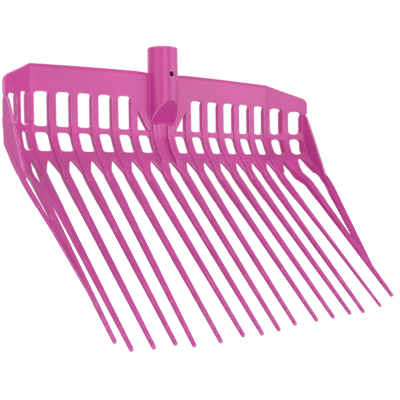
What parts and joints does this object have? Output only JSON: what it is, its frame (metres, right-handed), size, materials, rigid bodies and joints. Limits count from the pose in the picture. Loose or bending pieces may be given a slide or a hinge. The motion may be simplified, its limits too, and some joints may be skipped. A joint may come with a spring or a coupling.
{
  "type": "manure fork head",
  "caption": "Moulded plastic manure fork head with a slotted back, folded side wings, long tapering tines that bend forward and a round socket for a wooden handle.",
  "frame": {"origin": "middle of the handle socket's mouth, on the socket's axis", "axes": "+Z out of the socket along its axis, X across the fork from wing to wing, -Y towards the side that carries the load"},
  "size_m": [0.4104, 0.1887, 0.296],
  "materials": {
    "plastic": "satin gloss, moulded in one pink plastic"
  },
  "bodies": {
    "root": {"gusset_left": "plastic", "gusset_right": "plastic", "handle_socket": "plastic", "heel_left": "plastic", "heel_right": "plastic", "mid_rail_left": "plastic", "mid_rail_right": "plastic", "rib_left_1": "plastic", "rib_left_2": "plastic", "rib_left_3": "plastic", "rib_left_4": "plastic", "rib_left_5": "plastic", "rib_left_6": "plastic", "rib_right_1": "plastic", "rib_right_2": "plastic", "rib_right_3": "plastic", "rib_right_4": "plastic", "rib_right_5": "plastic", "rib_right_6": "plastic", "side_fin_left": "plastic", "side_fin_right": "plastic", "side_strip_left": "plastic", "side_strip_right": "plastic", "socket_spine": "plastic", "tine_01": "plastic", "tine_02": "plastic", "tine_03": "plastic", "tine_04": "plastic", "tine_05": "plastic", "tine_06": "plastic", "tine_07": "plastic", "tine_08": "plastic", "tine_09": "plastic", "tine_10": "plastic", "tine_11": "plastic", "tine_12": "plastic", "tine_13": "plastic", "tine_14": "plastic", "upper_band_left": "plastic", "upper_band_right": "plastic", "wing_edge_left": "plastic", "wing_edge_right": "plastic", "wing_heel_left": "plastic", "wing_heel_right": "plastic", "wing_plate_left": "plastic", "wing_plate_right": "plastic", "wing_rail_left": "plastic", "wing_rail_right": "plastic", "wing_rib_left": "plastic", "wing_rib_right": "plastic", "wing_tine_left": "plastic", "wing_tine_right": "plastic"}
  },
  "joints": []
}
